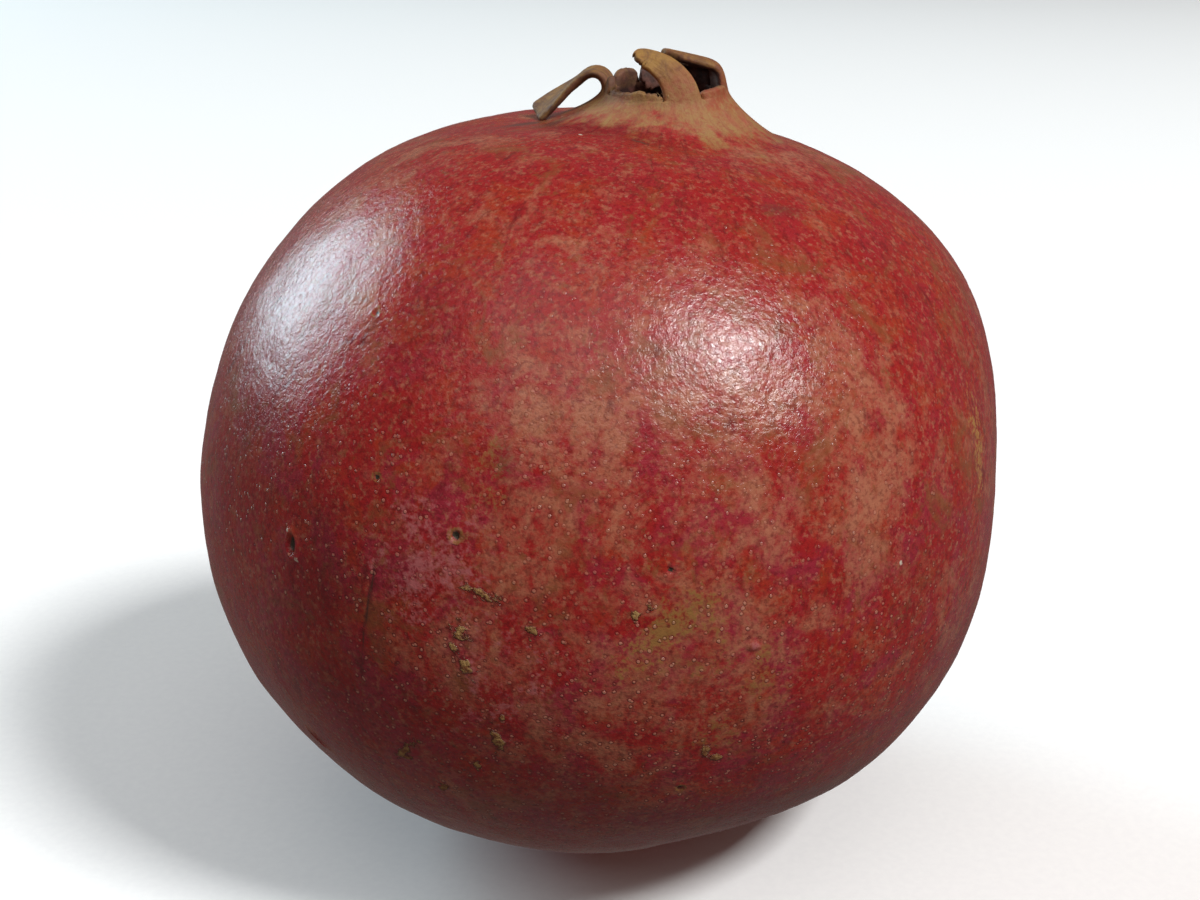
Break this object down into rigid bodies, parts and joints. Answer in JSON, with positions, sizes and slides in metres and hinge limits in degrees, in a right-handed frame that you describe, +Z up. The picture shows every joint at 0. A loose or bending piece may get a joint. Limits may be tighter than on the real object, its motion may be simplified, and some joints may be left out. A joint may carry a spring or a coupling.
{
  "type": "pomegranate",
  "caption": "Whole ripe pomegranate lying loose, with a short neck and a dried, partly torn crown of calyx lobes around an open cup.",
  "frame": {"origin": "middle of the small flat spot that the fruit rests on", "axes": "+Z up from the surface to the crown, -Y towards the torn side of the crown, +X the way the fruit's own axis leans"},
  "size_m": [0.0918, 0.092, 0.0924],
  "materials": {
    "rind": "smooth leathery rind with a waxy gloss",
    "dry_fibre": "dry matt plant fibre"
  },
  "bodies": {
    "root": {"fruit": "rind", "stamens": "dry_fibre", "style": "dry_fibre"}
  },
  "joints": []
}
